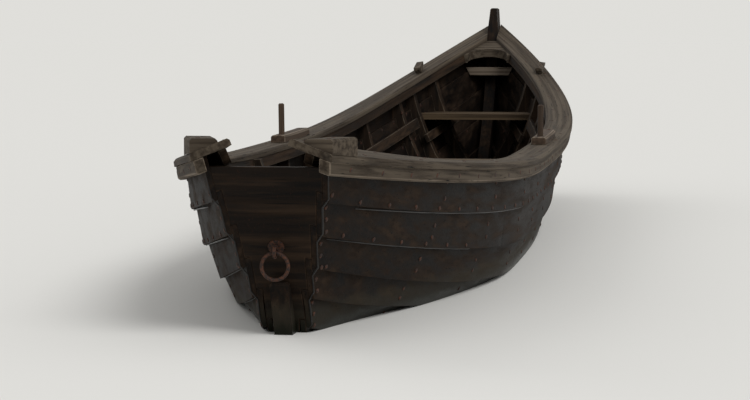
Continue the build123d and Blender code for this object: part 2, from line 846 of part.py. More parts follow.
block_ends = (transom_top_x - rail_overhang, transom_top_x - rail_overhang + block_length)


def block_foot(x):
    """Where a quarter block stands on the cap rail: inner and outer corner."""
    return rail_outline(x, block_inner, block_outer, cap_top + seam, cap_top + seam)[:2]


block_top_z = block_crown + max(corner[1] for x in block_ends for corner in block_foot(x))


def block_outline(x):
    """A quarter block: it sits on the sloping cap rail and is level on top."""
    inner, outer = block_foot(x)
    return eased([inner, outer, (outer[0], block_top_z), (inner[0], block_top_z)], (2, 3), block_ease)


with BuildPart() as quarter_block:
    loft_through(block_ends, block_outline, ruled=True)
write_pair("quarter_block", quarter_block.part)


def rail_crown(x):
    """The middle of the cap rail's top, as a vector."""
    outline = rail_outline(x, cap_inner, cap_outer, cap_top, cap_top)
    return at_station(x, between(outline[0], outline[1], 0.5))


cleat_x = bow_inside_x - cleat_setback
cleat_run = (rail_crown(cleat_x + tangent_step) - rail_crown(cleat_x - tangent_step)).normalized()
cleat_across = Vector(0, *planking(cleat_x)[-1][1])
with BuildPart() as cleat:
    with BuildSketch(Plane(origin=rail_crown(cleat_x), x_dir=cleat_run, z_dir=-cleat_across)):
        with BuildLine():
            low, high = 2 * seam, cleat_height
            horn = cleat_height * cleat_neck
            Polyline(
                (-cleat_length / 2, high), (-cleat_length / 2, horn + low), (-cleat_foot / 2, horn),
                (-cleat_foot / 2, low), (cleat_foot / 2, low), (cleat_foot / 2, horn),
                (cleat_length / 2, horn + low), (cleat_length / 2, high), close=True,
            )
        make_face()
    extrude(amount=cleat_width / 2, both=True)
    fillet(cleat.edges().filter_by(lambda edge: abs(edge.length - cleat_width) < 1), cleat_ease)
write_pair("rail_cleat", cleat.part)

# Mooring ring on the transom
bolt_plane = Plane(
    origin=(transom_x(ring_z), 0, ring_z), x_dir=(0, 1, 0), z_dir=(-1, 0, -transom_slope)
)
eye_plane = bolt_plane.offset(seam + bolt_plate_thickness + bolt_neck + bolt_radius)
eye_centre = eye_plane.origin


def forged_ring(centre, normal, radius, wire):
    """A ring forged from an eight-sided rod, inside a part block."""
    toward = Plane(origin=centre, x_dir=normal, z_dir=normal.cross(Vector(0, 0, 1)))
    with BuildSketch(toward) as rod:
        with Locations((0, -radius)):
            RegularPolygon(wire, 8, major_radius=False, rotation=180 / 8)
    revolve(rod.sketch, axis=Axis(centre, normal))


with BuildPart() as ring_bolt:
    with BuildSketch(bolt_plane.offset(seam)):
        Circle(bolt_plate_radius)
    extrude(amount=bolt_plate_thickness)
    with BuildSketch(bolt_plane.offset(seam)):
        Circle(bolt_radius)
    extrude(amount=bolt_plate_thickness + bolt_neck)
    forged_ring(eye_centre, Vector(0, 1, 0), eye_radius, eye_wire)
write_node("ring_bolt", ring_bolt.part)

hang = eye_radius - eye_wire - ring_wire - ring_clearance
with BuildPart() as ring:
    ring_centre = Vector(eye_centre.X, 0, eye_centre.Z - hang - ring_radius)
    forged_ring(ring_centre, Vector(1, 0, 0), ring_radius, ring_wire)
write_node("mooring_ring", ring.part)
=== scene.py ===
# %% [markdown]
# A planked rowing boat, tarred nearly black, is shown down to its waterline. The planks, rails, timbers
# and seats are already exact solids. This script dresses them: it rounds their edges, gives each one its
# own wood, and drives in the nails, roves and pitch that hold and seal a clinker hull.

# %% Load the boat's solids
from math import atan, cos, pi, radians, sin
import random

import bmesh
import bpy
from mathutils import Matrix, Vector
from mathutils.bvhtree import BVHTree


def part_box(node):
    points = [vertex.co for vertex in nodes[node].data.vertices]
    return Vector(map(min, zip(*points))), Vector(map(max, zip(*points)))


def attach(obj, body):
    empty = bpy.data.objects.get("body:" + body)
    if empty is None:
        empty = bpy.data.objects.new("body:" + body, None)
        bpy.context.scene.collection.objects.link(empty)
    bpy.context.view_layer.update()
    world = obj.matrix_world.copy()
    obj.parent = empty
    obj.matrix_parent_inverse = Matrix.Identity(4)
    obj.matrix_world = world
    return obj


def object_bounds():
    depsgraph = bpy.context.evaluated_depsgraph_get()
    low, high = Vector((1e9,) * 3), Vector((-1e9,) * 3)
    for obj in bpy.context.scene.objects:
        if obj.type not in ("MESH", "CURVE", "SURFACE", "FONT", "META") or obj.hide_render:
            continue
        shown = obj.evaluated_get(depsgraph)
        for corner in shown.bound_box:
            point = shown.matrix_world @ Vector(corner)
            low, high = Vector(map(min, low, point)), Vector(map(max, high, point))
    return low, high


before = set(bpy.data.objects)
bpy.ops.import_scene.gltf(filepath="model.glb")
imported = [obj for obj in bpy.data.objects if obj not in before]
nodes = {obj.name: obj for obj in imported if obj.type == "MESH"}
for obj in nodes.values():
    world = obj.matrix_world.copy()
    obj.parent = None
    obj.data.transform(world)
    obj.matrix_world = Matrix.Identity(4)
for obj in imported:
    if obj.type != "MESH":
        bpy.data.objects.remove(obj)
solid_low, solid_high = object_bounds()
print("solids:", len(nodes), "box:", [round(v, 3) for v in (*solid_low, *solid_high)])

# %% [markdown]
# Colours are written as sRGB hex values, the numbers that a paint chart or a picture editor gives.
# Blender's shaders work in linear light, so one function turns them over. A second function adds a shader
# node with its settings and links in one line, which keeps each recipe below short enough to read.

# %% Colour and node helpers
MM = 0.001


def colour(hex_value):
    """An sRGB hex colour as linear red, green, blue and alpha."""
    channels = [int(hex_value[at : at + 2], 16) / 255 for at in (1, 3, 5)]
    linear = [c / 12.92 if c <= 0.04045 else ((c + 0.055) / 1.055) ** 2.4 for c in channels]
    return (*linear, 1.0)


def grey(value):
    """A number in all three channels, so that two roughnesses can be mixed as colours are."""
    return (value, value, value, 1.0)


def add(tree, kind, inputs=None, **settings):
    """Add a shader node, with its settings, and its inputs as values or links."""
    node = tree.nodes.new("ShaderNode" + kind)
    for name, value in settings.items():
        setattr(node, name, value)
    for socket, value in (inputs or {}).items():
        if isinstance(value, bpy.types.NodeSocket):
            tree.links.new(value, node.inputs[socket])
        else:
            node.inputs[socket].default_value = value
    return node


def new_material(name):
    """An empty node material, and its tree."""
    material = bpy.data.materials.new(name)
    material.use_nodes = True
    material.node_tree.nodes.clear()
    return material, material.node_tree


def finish_material(tree, inputs):
    """Close a material with one principled shader."""
    shader = add(tree, "BsdfPrincipled", inputs)
    add(tree, "OutputMaterial", {"Surface": shader.outputs["BSDF"]})


print("tar black in linear light:", [round(v, 4) for v in colour("#15110e")])

# %% [markdown]
# Wood looks like wood because its fibres run one way, and here the pieces are bent. Planks and rails sweep
# up to the bow and stern, the rails curve in to both ends as well, and the grain goes with them. An unwrapped
# map could follow them too, but it would be one for each piece. So the cap rail's own curves give the sweep:
# taken out of the coordinates, they leave wood that is straight, as it was when it was sawn.


# %% Coordinates that follow the planks and rails
rail = [vertex.co for vertex in nodes["cap_rail_port"].data.vertices]
LOWEST = min(rail, key=lambda co: co.z)
WIDEST = max(rail, key=lambda co: co.y)
BOW = max(rail, key=lambda co: co.x)
STERN = min(rail, key=lambda co: co.x)
KEEL_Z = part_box("keel")[1].z
BOW_RISE, STERN_RISE = 3.1, 2.0
BOW_CLOSE, STERN_CLOSE = 4.2, 1.9
LOW_PLANKS = 2.4


def calculate(tree, operation, first, second=0.0):
    """One step of arithmetic on two factors."""
    return add(tree, "Math", {0: first, 1: second}, operation=operation).outputs[0]


def towards(tree, x, middle, end, axis, curve):
    """How far the rail has risen, or come in, at x on its way from a middle to an end."""
    share = calculate(tree, "DIVIDE", calculate(tree, "SUBTRACT", x, middle.x), end.x - middle.x)
    share = calculate(tree, "POWER", calculate(tree, "MAXIMUM", share), curve)
    return calculate(tree, "MULTIPLY", share, end[axis] - middle[axis])


def unbent(tree, round_the_rail):
    """Object coordinates with the wood's bends taken out of them."""
    place = add(tree, "SeparateXYZ", {0: add(tree, "TexCoord").outputs["Object"]}).outputs
    x, y, z = place["X"], place["Y"], place["Z"]
    bow_rise = towards(tree, x, LOWEST, BOW, 2, BOW_RISE)
    rise = calculate(tree, "ADD", bow_rise, towards(tree, x, LOWEST, STERN, 2, STERN_RISE))
    if round_the_rail:
        flat = calculate(tree, "SUBTRACT", z, rise)
        bow_close = towards(tree, x, WIDEST, BOW, 1, BOW_CLOSE)
        close = calculate(tree, "ADD", bow_close, towards(tree, x, WIDEST, STERN, 1, STERN_CLOSE))
        y = calculate(tree, "SUBTRACT", calculate(tree, "ABSOLUTE", y), close)
    else:
        height = calculate(tree, "SUBTRACT", z, KEEL_Z)
        share = calculate(tree, "DIVIDE", height, calculate(tree, "ADD", rise, LOWEST.z - KEEL_Z))
        share = calculate(tree, "MINIMUM", calculate(tree, "MAXIMUM", share), 1.0)
        below = calculate(tree, "POWER", calculate(tree, "SUBTRACT", 1.0, share), LOW_PLANKS)
        lifted = calculate(tree, "MULTIPLY", rise, calculate(tree, "SUBTRACT", 1.0, below))
        flat = calculate(tree, "SUBTRACT", z, lifted)
    return add(tree, "CombineXYZ", {"X": x, "Y": y, "Z": flat}).outputs[0]


print("rail's lowest point:", round(LOWEST.x, 2), "m, rise to the bow:", round(BOW.z - LOWEST.z, 2), "m")

# %% [markdown]
# Every pattern in the wood is stretched along the grain: growth rings about 14 mm apart, fibres under two
# millimetres wide, drying checks a hand long. A picture of wood would repeat from plank to plank. Noise
# doesn't, and one recipe serves planks, rails, timbers and seats, with the grain turned along each piece.


# %% Grain that runs along a piece
SHIFT_OF_EACH_PIECE = (7.0, 11.0, 13.0)


def grain_vector(tree, direction, length, width):
    """Coordinates in grain units, different on every piece. The long way is X, Y, Z, PLANK or RAIL."""
    if direction in ("PLANK", "RAIL"):
        place = unbent(tree, direction == "RAIL")
    else:
        place = add(tree, "TexCoord").outputs["Object"]
    number = add(tree, "ObjectInfo").outputs["Random"]
    shift = add(tree, "VectorMath", {0: number, 1: SHIFT_OF_EACH_PIECE}, operation="MULTIPLY")
    moved = add(tree, "VectorMath", {0: place, 1: shift.outputs[0]}, operation="ADD")
    scale = [1 / (width * MM)] * 3
    scale["YZ".find(direction) + 1] = 1 / (length * MM)
    turned = add(tree, "Mapping", {"Vector": moved.outputs[0], "Scale": scale})
    return turned.outputs["Vector"]


print("each piece's pattern is moved by up to", max(SHIFT_OF_EACH_PIECE), "m")

# %% [markdown]
# Three helpers turn noise into marks. Noise alone is a grey cloud. A ramp cuts cracks, patches or runs out of
# it by its two limits, and a mix lays one colour over another where the ramp says so. A colour ramp node
# could cut as well, but two limits in a call are easier to read than a ramp's stops.


# %% Noise, ramps and mixing
def noise(tree, vector, detail=3.0, roughness=0.5, distortion=0.0):
    """Noise of about one lump for each unit of the vector, from 0 to 1."""
    inputs = {
        "Vector": vector, "Scale": 1.0, "Detail": detail,
        "Roughness": roughness, "Distortion": distortion,
    }
    return add(tree, "TexNoise", inputs).outputs["Fac"]


def ramp(tree, factor, low, high, to_low=0.0, to_high=1.0):
    """Spread a factor between two limits."""
    inputs = {"Value": factor, "From Min": low, "From Max": high, "To Min": to_low, "To Max": to_high}
    return add(tree, "MapRange", inputs, interpolation_type="SMOOTHSTEP").outputs["Result"]


def blend(tree, factor, first, second):
    """Mix two colours by a factor."""
    inputs = {"Factor": factor, "A": first, "B": second}
    node = add(tree, "Mix", data_type="RGBA")
    for socket, value in inputs.items():
        kinds = ("VALUE", "RGBA")
        target = next(s for s in node.inputs if s.name == socket and s.type in kinds and s.enabled)
        if isinstance(value, bpy.types.NodeSocket):
            tree.links.new(value, target)
        else:
            target.default_value = value
    return next(s for s in node.outputs if s.enabled)


print("helpers for noise, ramps and mixing are ready")

# %% [markdown]
# The boat's woods are pine and oak under years of wood tar. Tar soaks in brown, and where it lies thick it
# dries to a lumpy, half-gloss black. Hands, boots and oars wear it off rails, seats and edges, and the bare
# wood goes grey in the sun. Outside, the nails have bled rust down the planks, and just above the waterline
# lies a band of slime under a paler one of dried mud. Every plank is one solid through and through, so a
# mask made from the way that its surface faces keeps mud and slime off the inside.


# %% Sizes and colours of the marks
# length along the grain and width across it, in millimetres
FIBRES = (90.0, 1.6)
GROWTH_RINGS = (900.0, 14.0)
DRYING_CHECKS = (170.0, 3.4)
WORN_PATCHES = (420.0, 40.0)
TAR_LUMPS = (9.0, 7.0)
RUST_RUNS = (190.0, 6.0)
BARE_ROUGHNESS = 0.86
LUMP_ROUGHNESS = 0.74
SLIME_ROUGHNESS = 0.36
BAND_WANDER = 0.09
CRACK = colour("#060505")
RUST_RUN = colour("#2e1a10")
DRIED_MUD = colour("#39352b")
SLIME = colour("#12140c")
BILGE_SILT = colour("#17130d")


def facing_out(tree):
    """1 on the outside of the hull, 0 on the inside, from the way that the surface faces."""
    place = add(tree, "SeparateXYZ", {0: add(tree, "TexCoord").outputs["Object"]}).outputs
    normal = add(tree, "SeparateXYZ", {0: add(tree, "TexCoord").outputs["Normal"]}).outputs
    sideways = calculate(tree, "MULTIPLY", normal["Y"], calculate(tree, "SIGN", place["Y"]))
    outward = calculate(tree, "SUBTRACT", sideways, normal["Z"])
    return ramp(tree, outward, -0.05, 0.1)


print("along and across the grain in mm: fibres", FIBRES, "rings", GROWTH_RINGS, "checks", DRYING_CHECKS)

# %% [markdown]
# Each wood is two surfaces, tar and bare, with one mask between them. The mask is noise drawn out along the
# grain, so the tar wears off in streaks. Fibres, rings, checks and lumps of tar colour the wood, and the same
# four raise its surface a little, so that what looks like a crack also shades like one.


# %% Tarred wood
def tarred_wood(name, direction, tar, soaked, bare, cover, tar_roughness, sheen, outside):
    """Wood under tar. cover is the share that the tar still hides, 0 to 1."""
    material, tree = new_material(name)
    fibres = noise(tree, grain_vector(tree, direction, *FIBRES), 4.0, 0.6)
    rings = noise(tree, grain_vector(tree, direction, *GROWTH_RINGS), 2.0, 0.45, 0.25)
    splits = noise(tree, grain_vector(tree, direction, *DRYING_CHECKS), 1.0, 0.4)
    checks = ramp(tree, splits, 0.69, 0.75)
    patches = noise(tree, grain_vector(tree, direction, *WORN_PATCHES), 5.0, 0.58)
    lumps = noise(tree, grain_vector(tree, direction, *TAR_LUMPS), 2.0)
    covered = ramp(tree, patches, 0.95 - cover, 1.22 - cover)
    wood_colour = blend(tree, ramp(tree, rings, 0.35, 0.65), bare, soaked)
    wood_colour = blend(tree, ramp(tree, fibres, 0.3, 0.75, 0.0, 0.5), wood_colour, bare)
    tar_colour = blend(tree, ramp(tree, rings, 0.3, 0.75, 0.0, 0.7), tar, soaked)
    surface = blend(tree, covered, wood_colour, tar_colour)
    roughness = blend(tree, covered, grey(BARE_ROUGHNESS), grey(tar_roughness))
    roughness = blend(tree, ramp(tree, lumps, 0.35, 0.8, 0.0, 0.5), roughness, grey(LUMP_ROUGHNESS))
    surface = blend(tree, checks, surface, CRACK)
    height = add(tree, "SeparateXYZ", {0: add(tree, "TexCoord").outputs["Object"]}).outputs["Z"]
    wander = calculate(tree, "MULTIPLY", calculate(tree, "SUBTRACT", patches, 0.5), BAND_WANDER)
    above = calculate(tree, "ADD", height, wander)
    if outside:
        runs = noise(tree, grain_vector(tree, "Z", *RUST_RUNS), 2.0, 0.5)
        surface = blend(tree, ramp(tree, runs, 0.62, 0.74, 0.0, 0.5), surface, RUST_RUN)
        facing = facing_out(tree)
        dried = calculate(tree, "MULTIPLY", facing, ramp(tree, above, 105 * MM, 60 * MM, 0.0, 0.4))
        surface = blend(tree, dried, surface, DRIED_MUD)
        slime = calculate(tree, "MULTIPLY", facing, ramp(tree, above, 12 * MM, 50 * MM, 1.0, 0.0))
        surface = blend(tree, calculate(tree, "MULTIPLY", slime, 0.9), surface, SLIME)
        roughness = blend(tree, slime, roughness, grey(SLIME_ROUGHNESS))
        bilge = calculate(tree, "SUBTRACT", ramp(tree, above, -40 * MM, 60 * MM, 0.7, 0.0), facing)
        surface = blend(tree, calculate(tree, "MAXIMUM", bilge), surface, BILGE_SILT)
    relief = calculate(tree, "MULTIPLY", fibres, 0.35)
    relief = calculate(tree, "ADD", relief, calculate(tree, "MULTIPLY", rings, 0.5))
    relief = calculate(tree, "ADD", relief, calculate(tree, "MULTIPLY", lumps, 0.45))
    relief = calculate(tree, "SUBTRACT", relief, calculate(tree, "MULTIPLY", checks, 1.6))
    bump = add(tree, "Bump", {"Height": relief, "Strength": 0.7, "Distance": 1.0 * MM})
    finish_material(tree, {
        "Base Color": surface, "Roughness": roughness, "IOR": 1.5, "Specular IOR Level": sheen,
        "Normal": bump.outputs["Normal"],
    })
    return material


print("a patch of bare wood is about", WORN_PATCHES[0], "mm long")

# %% [markdown]
# Six woods come from that recipe: tarred pine for the planks, oak for the timbers and the rails, the paler
# oak of rubbed edges (its paleness is wear and a painted highlight both), worn pine boards, and ash that the
# oars have polished. Each is a row of a table, and each is made with its grain in five directions, so that a
# piece is simply given the one that runs its way.

# %% The boat's woods
# columns: wood, name, tar, tar-soaked wood, bare wood, share covered, the tar's roughness, sheen
WOOD_TABLE = (
    ("planking", "tarred_pine_planking_", "#090706", "#1a120c", "#2f241b", 0.62, 0.60, 0.09),
    ("timber", "tarred_oak_timber_", "#0e0b08", "#1e150e", "#372a1f", 0.56, 0.64, 0.10),
    ("rail", "weathered_oak_rail_", "#16120e", "#2a221a", "#4f463b", 0.42, 0.70, 0.15),
    # the edge row is paler partly from rubbed wear and partly as a painted highlight
    ("edge", "rubbed_oak_edge_", "#261f18", "#3f342a", "#72675a", 0.24, 0.72, 0.15),
    ("board", "worn_pine_board_", "#17120d", "#2c2218", "#534534", 0.42, 0.68, 0.15),
    ("thole", "oar_polished_ash_", "#17110c", "#2b2016", "#46372a", 0.42, 0.46, 0.30),
)
WOODS = {}
for wood, name, tar, soaked, bare, cover, tar_roughness, sheen in WOOD_TABLE:
    for direction in ("X", "Y", "Z", "PLANK", "RAIL"):
        WOODS[wood, direction] = tarred_wood(
            name + direction.lower(), direction, colour(tar), colour(soaked), colour(bare), cover,
            tar_roughness, sheen, outside=wood == "planking",
        )
print("woods:", len(WOODS))

# %% [markdown]
# The nails, roves, bolt and ring are wrought iron that has been wet for years. Rust is not one colour: it
# runs from a dark scale to orange powder in patches a few millimetres across, and it is never shiny. Two
# noises give that, a coarse one for the patches and a fine one for the powder's grit.


# %% Rusted iron
RUST_PATCH = 7 * MM
RUST_GRIT = 1.2 * MM


def rusted_iron(name):
    """Wrought iron under a dark scale, with orange powder in patches."""
    material, tree = new_material(name)
    place = add(tree, "TexCoord").outputs["Object"]
    coarse = add(tree, "Mapping", {"Vector": place, "Scale": (1 / RUST_PATCH,) * 3})
    patches = noise(tree, coarse.outputs[0], 5.0, 0.6)
    fine = add(tree, "Mapping", {"Vector": place, "Scale": (1 / RUST_GRIT,) * 3})
    grit = noise(tree, fine.outputs[0], 2.0)
    scale = blend(tree, ramp(tree, patches, 0.4, 0.62), colour("#1c1512"), colour("#4a2a19"))
    surface = blend(tree, ramp(tree, grit, 0.55, 0.8, 0.0, 0.6), scale, colour("#6b3a1e"))
    bump = add(tree, "Bump", {"Height": grit, "Strength": 0.5, "Distance": 0.4 * MM})
    finish_material(tree, {
        "Base Color": surface, "Metallic": 0.35, "Roughness": 0.72, "Normal": bump.outputs["Normal"],
    })
    return material


IRON = rusted_iron("rusted_wrought_iron")
print("iron:", IRON.name)

# %% [markdown]
# A real plank has no knife-sharp edge: the plane takes it off, and rubbing does the rest. Blender's bevel
# modifier rounds every edge by a millimetre or two and leaves the solids themselves untouched. Its second
# material slot paints that rounded strip a paler wood, partly as rubbed wear and partly as a painted
# highlight, so that edges look lit as old tarred edges do.


# %% Rounded edges, worn and with a painted highlight
WELD_DISTANCE = 0.01 * MM
SHARP_EDGE = 35


def smooth_solids():
    """A node group that welds the faces of a solid together and lets them shade smoothly."""
    group = bpy.data.node_groups.new("weld_and_smooth", "GeometryNodeTree")
    group.interface.new_socket("Geometry", in_out="INPUT", socket_type="NodeSocketGeometry")
    group.interface.new_socket("Geometry", in_out="OUTPUT", socket_type="NodeSocketGeometry")
    last = group.nodes.new("NodeGroupInput").outputs[0]
    for kind in ("MergeByDistance", "RemoveAttribute", "RemoveAttribute", "SetShadeSmooth"):
        step = group.nodes.new("GeometryNode" + kind)
        group.links.new(last, step.inputs["Geometry"])
        last = step.outputs["Geometry"]
        if kind == "MergeByDistance":
            step.inputs["Distance"].default_value = WELD_DISTANCE
    removers = [n for n in group.nodes if n.bl_idname == "GeometryNodeRemoveAttribute"]
    for remover, attribute in zip(removers, ("custom_normal", "sharp_edge")):
        remover.inputs["Name"].default_value = attribute
    group.links.new(last, group.nodes.new("NodeGroupOutput").inputs[0])
    return group


SMOOTH = smooth_solids()


def dress(obj, material, edge_material, width):
    """Round a solid's edges and give it its wood."""
    obj.data.materials.clear()
    obj.data.materials.append(material)
    obj.data.materials.append(edge_material)
    weld = obj.modifiers.new("weld", "NODES")
    weld.node_group = SMOOTH
    bevel = obj.modifiers.new("worn edges", "BEVEL")
    bevel.width = width * MM
    bevel.segments = 2
    bevel.limit_method = "ANGLE"
    bevel.angle_limit = radians(SHARP_EDGE)
    # slot 1 paints the rounded strip paler: rubbed wear and a painted highlight
    bevel.material = 1
    bevel.harden_normals = False
    obj.modifiers.new("shading", "WEIGHTED_NORMAL")


print("edge modifiers are ready")

# %% [markdown]
# Which wood goes where, and which way its grain runs: planks and rails follow their own bends, boards run
# along the boat, seats, floors and blocks across it, side timbers and thole pins stand up. The mooring ring
# was forged from an eight-sided rod, and the same rounding wears its corners down.

# %% Dress every solid
# columns: start of the node's name, wood, its edges' wood, grain direction, edge width in mm
FINISHES = (
    ("strake", "planking", "timber", "PLANK", 1.6),
    ("keel", "planking", "timber", "X", 2.5),
    ("sternpost", "planking", "timber", "Z", 3.0),
    ("stem", "planking", "timber", "Z", 3.5),
    ("transom", "planking", "timber", "Y", 2.0),
    ("floor_timbers", "timber", "rail", "Y", 2.5),
    ("side_timbers", "timber", "rail", "Z", 2.5),
    ("inwale", "timber", "rail", "RAIL", 2.5),
    ("riser", "timber", "rail", "PLANK", 2.0),
    ("bow_riser", "timber", "rail", "PLANK", 2.0),
    ("quarter_knee", "timber", "rail", "Y", 2.5),
    ("thwart_knee", "timber", "rail", "Z", 2.5),
    ("breasthook", "rail", "edge", "Y", 3.0),
    ("rub_rail", "rail", "edge", "RAIL", 3.0),
    ("cap_rail", "rail", "edge", "RAIL", 2.5),
    ("rail_cleat", "rail", "edge", "RAIL", 2.0),
    ("quarter_block", "rail", "edge", "Y", 3.0),
    ("thwart", "board", "edge", "Y", 3.0),
    ("seat", "board", "edge", "Y", 3.0),
    # the bow shelf is all pale edge wood: rubbed wear and a painted highlight
    ("bow_shelf", "edge", "edge", "Y", 2.5),
    ("bottom_board", "board", "edge", "X", 2.5),
    ("thole_pad", "thole", "edge", "RAIL", 2.5),
    ("thole_pin", "thole", "thole", "Z", 1.0),
)
RING_EDGE = 1.8
dressed = 0
for name, obj in sorted(nodes.items()):
    for start, wood, edge_wood, direction, width in FINISHES:
        if name.startswith(start):
            dress(obj, WOODS[wood, direction], WOODS[edge_wood, direction], width)
            dressed += 1
            break
for name in ("ring_bolt", "mooring_ring"):
    dress(nodes[name], IRON, IRON, RING_EDGE)
print("wooden solids dressed:", dressed, "of", len(nodes))

# %% [markdown]
# Nails need to know where the planks are, and the hull's own surface answers rays. Measuring places by hand
# would fail as soon as the hull changes. A tree of all faces makes thousands of rays quick, and a list
# beside it tells which solid each face belongs to.


# %% A surface that answers rays
SIDES = {"port": 1, "starboard": -1}
FAR = 2.0
strake_count = sum(1 for name in nodes if name.startswith("strake") and name.endswith("port"))


def surface_of(names):
    """A tree for ray casts over some solids, and the solid that each of its faces belongs to."""
    points, faces, owners = [], [], []
    for name in names:
        mesh = nodes[name].data
        base = len(points)
        points.extend(v.co.copy() for v in mesh.vertices)
        for face in mesh.polygons:
            faces.append([base + index for index in face.vertices])
            owners.append(name)
    return BVHTree.FromPolygons(points, faces), owners


PLANKS = surface_of([n for n in nodes if n.startswith("strake") or n == "keel"])
print("faces for ray casts:", len(PLANKS[1]))

# %% [markdown]
# Rays sent in from outside, all round a cross-section, tell which strake they meet, and a lap is where the
# answer changes. Halving the angle between two rays a few times then finds the lap to a fraction of a
# millimetre, for far fewer rays than a section that is that fine all round.

# %% Read the planks' laps off the hull
SECTION_Z = 0.22
FIRST_TURN = -pi / 2 + 0.02
LAST_TURN = 0.75
SECTION_RAYS = 260
HALVINGS = 7


def skin_at(x, side, turn):
    """The outside of the hull in a direction from the middle of a station: point, normal and strake."""
    outward = Vector((0.0, side * cos(turn), sin(turn)))
    start = Vector((x, 0.0, SECTION_Z)) + outward * FAR
    point, normal, index, _ = PLANKS[0].ray_cast(start, -outward, FAR)
    return None if point is None else (point, normal, PLANKS[1][index])


def section(x, side):
    """Points round one side of the hull at a station, from the keel up, each with its direction."""
    turns = [FIRST_TURN + (LAST_TURN - FIRST_TURN) * step / SECTION_RAYS for step in range(SECTION_RAYS)]
    found = [(turn, skin_at(x, side, turn)) for turn in turns]
    return [(turn, hit) for turn, hit in found if hit]


def laps(x, side):
    """The lower edge of each strake at a station: below it, on it, and the strake above."""
    found = section(x, side)
    edges = []
    for (low, below), (high, above) in zip(found, found[1:]):
        if below[2] == above[2]:
            continue
        for _ in range(HALVINGS):
            middle = (low + high) / 2
            hit = skin_at(x, side, middle)
            if hit is None:
                break
            if hit[2] == below[2]:
                low, below = middle, hit
            else:
                high, above = middle, hit
        edges.append((below, above, above[2]))
    return edges


print("laps at the middle:", len(laps(0.0, 1)))

# %% [markdown]
# What the scene adds to the boat is drawn corner by corner into a mesh. That mesh then becomes an object that
# rides on the hull. One function does this for every kind of nail and bead, and prints how large it came out.


# %% Turn a shape into a piece of the boat
def new_piece(name, shape, material, smooth=True):
    """Turn a bmesh into an object that rides on the boat."""
    mesh = bpy.data.meshes.new(name)
    shape.to_mesh(mesh)
    shape.free()
    for face in mesh.polygons:
        face.use_smooth = smooth
    obj = bpy.data.objects.new(name, mesh)
    bpy.context.scene.collection.objects.link(obj)
    mesh.materials.append(material)
    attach(obj, "root")
    print(name, "triangles:", sum(len(face.vertices) - 2 for face in mesh.polygons))
    return obj


print("new pieces ride on the boat's one body")

# %% [markdown]
# A clinker hull is riveted through every lap. Outside shows the low dome of the nail's head, inside the
# small square plate, the rove, that it is clenched over. They are about 14 mm wide, one every 170 mm.
# All heads are one mesh and all roves another: thousands of separate objects would be slow.

# %% Nail heads and roves
HEAD_CORNERS = 8
HEAD_RINGS = 3


def add_head(shape, point, normal, radius, rise, corners=HEAD_CORNERS, sink=1.0 * MM):
    """A low dome of three rings that sits on a surface, turned at random."""
    turned = normal.normalized().to_track_quat("Z", "Y").to_matrix()
    turned = turned @ Matrix.Rotation(dice.uniform(0, pi), 3, "Z")
    # columns: share of the radius, and height
    rings = ((1.0, -sink), (1.0, rise * 0.45), (0.62, rise * 0.9))
    made = []
    for share, lift in rings:
        reach = radius * share
        angles = [2 * pi * n / corners for n in range(corners)]
        ring = [Vector((reach * cos(angle), reach * sin(angle), lift)) for angle in angles]
        made.append([shape.verts.new(point + turned @ corner) for corner in ring])
    for low, high in zip(made, made[1:]):
        for n in range(corners):
            shape.faces.new((low[n], low[(n + 1) % corners], high[(n + 1) % corners], high[n]))
    shape.faces.new(made[-1])
    shape.faces.new(list(reversed(made[0])))


HEAD_RADIUS = 7 * MM
HEAD_RISE = 3 * MM
ROVE_RADIUS = 9 * MM
ROVE_RISE = 2.2 * MM
PLANK_AND_TIMBER = 0.11
dice = random.Random(7)
heads = bmesh.new()
roves = bmesh.new()
INSIDE = surface_of([n for n in nodes if n.startswith(("strake", "floor_timbers", "side_timbers"))])


def drive_nail(point, normal):
    """A head outside at a point, and a rove where the nail comes through plank or timber inside."""
    add_head(heads, point, normal, HEAD_RADIUS, HEAD_RISE)
    start = point - normal * PLANK_AND_TIMBER
    inner, _, _, _ = INSIDE[0].ray_cast(start, normal, PLANK_AND_TIMBER)
    if inner is not None:
        add_head(roves, inner, -normal, ROVE_RADIUS, ROVE_RISE, corners=4)


print("a nail's head is", round(2 * HEAD_RADIUS / MM), "mm wide")

# %% [markdown]
# The nails of a lap stand in a row in the middle of its overlap, 11 mm above the upper plank's edge. A
# boatbuilder measures them off by eye, so each station is moved by up to 6 mm. The nearest point of the
# planking gives the spot, and a nail is left out where the surface there turns away, as on a plank's edge.

# %% Nails through every lap
NAIL_PITCH = 170 * MM
LAP_CENTRE = 11 * MM
BY_EYE = 6
SAME_FACE = 0.9
first_x = solid_low.x + 0.30
last_x = solid_high.x - 0.22
for number in range(int((last_x - first_x) / NAIL_PITCH) + 1):
    for side in SIDES.values():
        x = first_x + NAIL_PITCH * number + dice.uniform(-BY_EYE, BY_EYE) * MM
        for _, (point, normal, _), _ in laps(x, side):
            up_plank = normal.cross(Vector((side, 0, 0))).normalized()
            up_plank = -up_plank if up_plank.z < 0 else up_plank
            spot, spot_normal, _, _ = PLANKS[0].find_nearest(point + up_plank * LAP_CENTRE)
            if spot is not None and spot_normal.dot(normal) > SAME_FACE:
                drive_nail(spot, spot_normal)
print("heads so far:", len(heads.verts) // (HEAD_RINGS * HEAD_CORNERS))

# %% [markdown]
# Each plank is also nailed to every timber that it crosses, at a third and two thirds of its width. The
# timbers stand 510 mm apart, and the first one is where the floor timbers' box begins.

